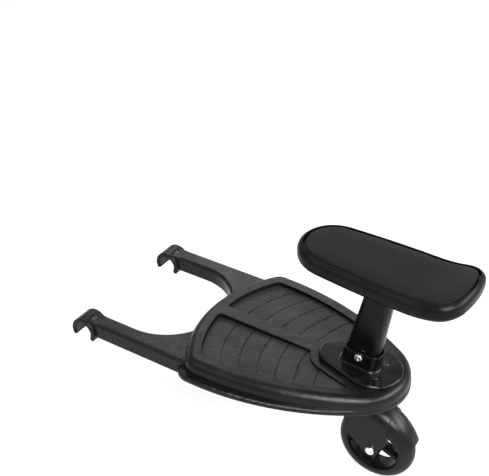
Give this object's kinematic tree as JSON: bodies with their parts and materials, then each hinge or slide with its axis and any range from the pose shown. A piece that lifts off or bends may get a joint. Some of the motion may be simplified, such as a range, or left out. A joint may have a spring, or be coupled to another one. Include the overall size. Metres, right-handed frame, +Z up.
{
  "type": "buggy board",
  "caption": "Ride-on board that hooks behind a pushchair: shield-shaped deck with tread panels, saddle seat on a leaning post and a swivelling caster wheel.",
  "frame": {"origin": "on the floor, under the middle of the whole object's bounding box", "axes": "+X rearward from the hooks to the seat's tail, +Y to the rider's right when facing the hooks, +Z up"},
  "size_m": [0.5558, 0.264, 0.3606],
  "materials": {
    "deck_plastic": "black moulded plastic, fine satin grain",
    "tread_mat": "dark grey rubbery tread with a fine wavy grain",
    "hook_plastic": "black moulded plastic",
    "liner_rubber": "soft dark rubber",
    "gloss_black": "glossy black moulded plastic",
    "shell_plastic": "satin black moulded plastic",
    "seat_foam": "charcoal foam pad with a smooth matte cover",
    "hub_plastic": "black moulded plastic",
    "tyre_rubber": "dark grey solid rubber",
    "bush_plastic": "grey slippery plastic",
    "zinc_steel": "bright zinc plating",
    "dark_steel": "blackened steel"
  },
  "bodies": {
    "board": {"deck": "deck_plastic", "right_tread_panel": "tread_mat", "left_tread_panel": "tread_mat", "bottom_cover": "deck_plastic", "cover_screws": "zinc_steel", "right_hook": "hook_plastic", "left_hook": "hook_plastic", "right_hook_liner": "liner_rubber", "left_hook_liner": "liner_rubber", "hook_screws": "zinc_steel", "liner_screws": "zinc_steel", "seat_base": "gloss_black", "seat_base_screws": "dark_steel", "collar_screw": "zinc_steel", "stem_bushings": "bush_plastic"},
    "seat": {"seat_post": "gloss_black", "seat_shell": "shell_plastic", "seat_pad": "seat_foam", "seat_screws": "zinc_steel"},
    "caster": {"caster_stem": "zinc_steel", "stem_washer": "zinc_steel", "stem_nut": "zinc_steel", "thrust_washer": "bush_plastic", "caster_fork": "gloss_black", "axle_bolt": "zinc_steel", "axle_nut": "zinc_steel", "axle_spacers": "bush_plastic"},
    "wheel": {"wheel_hub": "hub_plastic", "wheel_bearings": "bush_plastic", "tyre": "tyre_rubber"}
  },
  "joints": [
    {"name": "caster_swivel", "type": "hinge", "parent": "board", "child": "caster", "pos_m": [0.1329, 0, 0.1485], "axis": [0, 0, 1], "continuous": true},
    {"name": "wheel_spin", "type": "hinge", "parent": "caster", "child": "wheel", "pos_m": [0.1659, 0, 0.056], "axis": [0, 1, 0], "continuous": true},
    {"name": "seat_lift_off", "type": "slide", "parent": "board", "child": "seat", "axis": [0.1736, 0, 0.9848], "range_m": [0, 0.06]}
  ]
}
